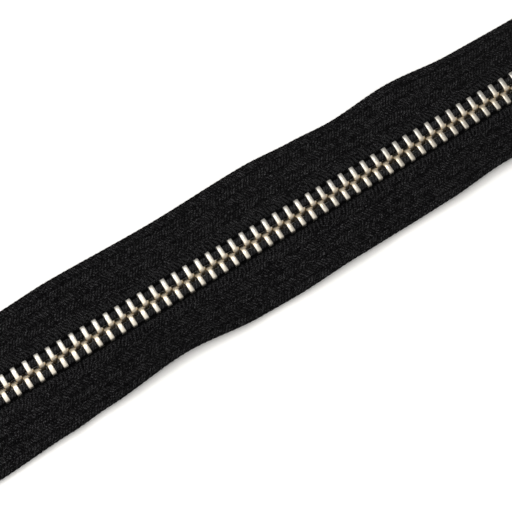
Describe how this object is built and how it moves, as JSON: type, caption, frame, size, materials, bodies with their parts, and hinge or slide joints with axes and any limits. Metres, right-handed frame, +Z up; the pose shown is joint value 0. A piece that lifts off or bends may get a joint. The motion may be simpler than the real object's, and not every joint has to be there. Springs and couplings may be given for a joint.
{
  "type": "metal zipper",
  "caption": "Closed-end metal zipper: two woven black tapes with corded edges and interlocking metal teeth, end stops, and a locking slider with its pull tab.",
  "frame": {"origin": "middle of the box's base: half way along the tapes, on the centre line, under the slider's bottom plate", "axes": "+X along the chain towards the top stops, +Y towards the left stringer, +Z up, out of the slider's pull-tab side"},
  "size_m": [0.2188, 0.0314, 0.0082],
  "materials": {
    "tape_weave": "black herringbone polyester weave, matt with a slight thread sheen",
    "bead_cord": "black twisted cord",
    "tooth_metal": "bright nickel plate with a warm tint, tumbled edges",
    "slider_metal": "polished nickel plate on a die casting",
    "spring_steel": "plain spring steel"
  },
  "bodies": {
    "chain_base": {"bottom_stop": "tooth_metal", "left_cord_bottom_end": "bead_cord", "right_cord_bottom_end": "bead_cord"},
    "left_stringer": {"left_tape": "tape_weave", "left_teeth_run_1": "tooth_metal", "left_teeth_run_2": "tooth_metal", "left_teeth_run_3": "tooth_metal", "left_teeth_run_4": "tooth_metal", "left_teeth_run_5": "tooth_metal", "left_teeth_run_6": "tooth_metal", "left_slider_tooth_1": "tooth_metal", "left_slider_tooth_2": "tooth_metal", "left_slider_tooth_3": "tooth_metal", "left_slider_tooth_4": "tooth_metal", "left_slider_tooth_5": "tooth_metal", "left_cord_top_end": "bead_cord", "left_top_stop": "tooth_metal"},
    "right_stringer": {"right_tape": "tape_weave", "right_teeth_run_1": "tooth_metal", "right_teeth_run_2": "tooth_metal", "right_teeth_run_3": "tooth_metal", "right_teeth_run_4": "tooth_metal", "right_teeth_run_5": "tooth_metal", "right_teeth_run_6": "tooth_metal", "right_slider_tooth_1": "tooth_metal", "right_slider_tooth_2": "tooth_metal", "right_slider_tooth_3": "tooth_metal", "right_slider_tooth_4": "tooth_metal", "right_slider_tooth_5": "tooth_metal", "right_slider_tooth_6": "tooth_metal", "right_cord_top_end": "bead_cord", "right_top_stop": "tooth_metal"},
    "slider": {"slider_body": "slider_metal", "slider_cap": "slider_metal"},
    "tab": {"pull_tab": "slider_metal"},
    "pawl": {"locking_pawl": "spring_steel"}
  },
  "joints": [
    {"name": "slider_slide", "type": "slide", "parent": "chain_base", "child": "slider", "axis": [-1, 0, 0], "range_m": [0, 0.1664]},
    {"name": "left_stringer_open", "type": "hinge", "parent": "chain_base", "child": "left_stringer", "pos_m": [-0.0897, 0, 0.00245], "axis": [0, 0, 1], "range_deg": [0, 8.5], "deforming": ["left_tape", "left_teeth_run_1", "left_teeth_run_2", "left_teeth_run_3", "left_teeth_run_4", "left_teeth_run_5", "left_teeth_run_6"]},
    {"name": "right_stringer_open", "type": "hinge", "parent": "chain_base", "child": "right_stringer", "pos_m": [-0.0897, 0, 0.00245], "axis": [0, 0, -1], "range_deg": [0, 8.5], "deforming": ["right_tape", "right_teeth_run_1", "right_teeth_run_2", "right_teeth_run_3", "right_teeth_run_4", "right_teeth_run_5", "right_teeth_run_6"]},
    {"name": "pull_tab_swing", "type": "hinge", "parent": "slider", "child": "tab", "pos_m": [0.0832, 0, 0.00588], "axis": [0, 1, 0], "range_deg": [0, 170]},
    {"name": "locking_pawl_lift", "type": "hinge", "parent": "slider", "child": "pawl", "pos_m": [0.0876, 0, 0.00678], "axis": [0, 1, 0], "range_deg": [0, 3.5]}
  ],
  "couplings": [
    {"joint": "left_stringer_open", "follows": "slider_slide", "rad_per_m": 0.89154},
    {"joint": "right_stringer_open", "follows": "slider_slide", "rad_per_m": 0.89154},
    {"joint": "locking_pawl_lift", "follows": "pull_tab_swing", "ratio": 0.020587}
  ]
}
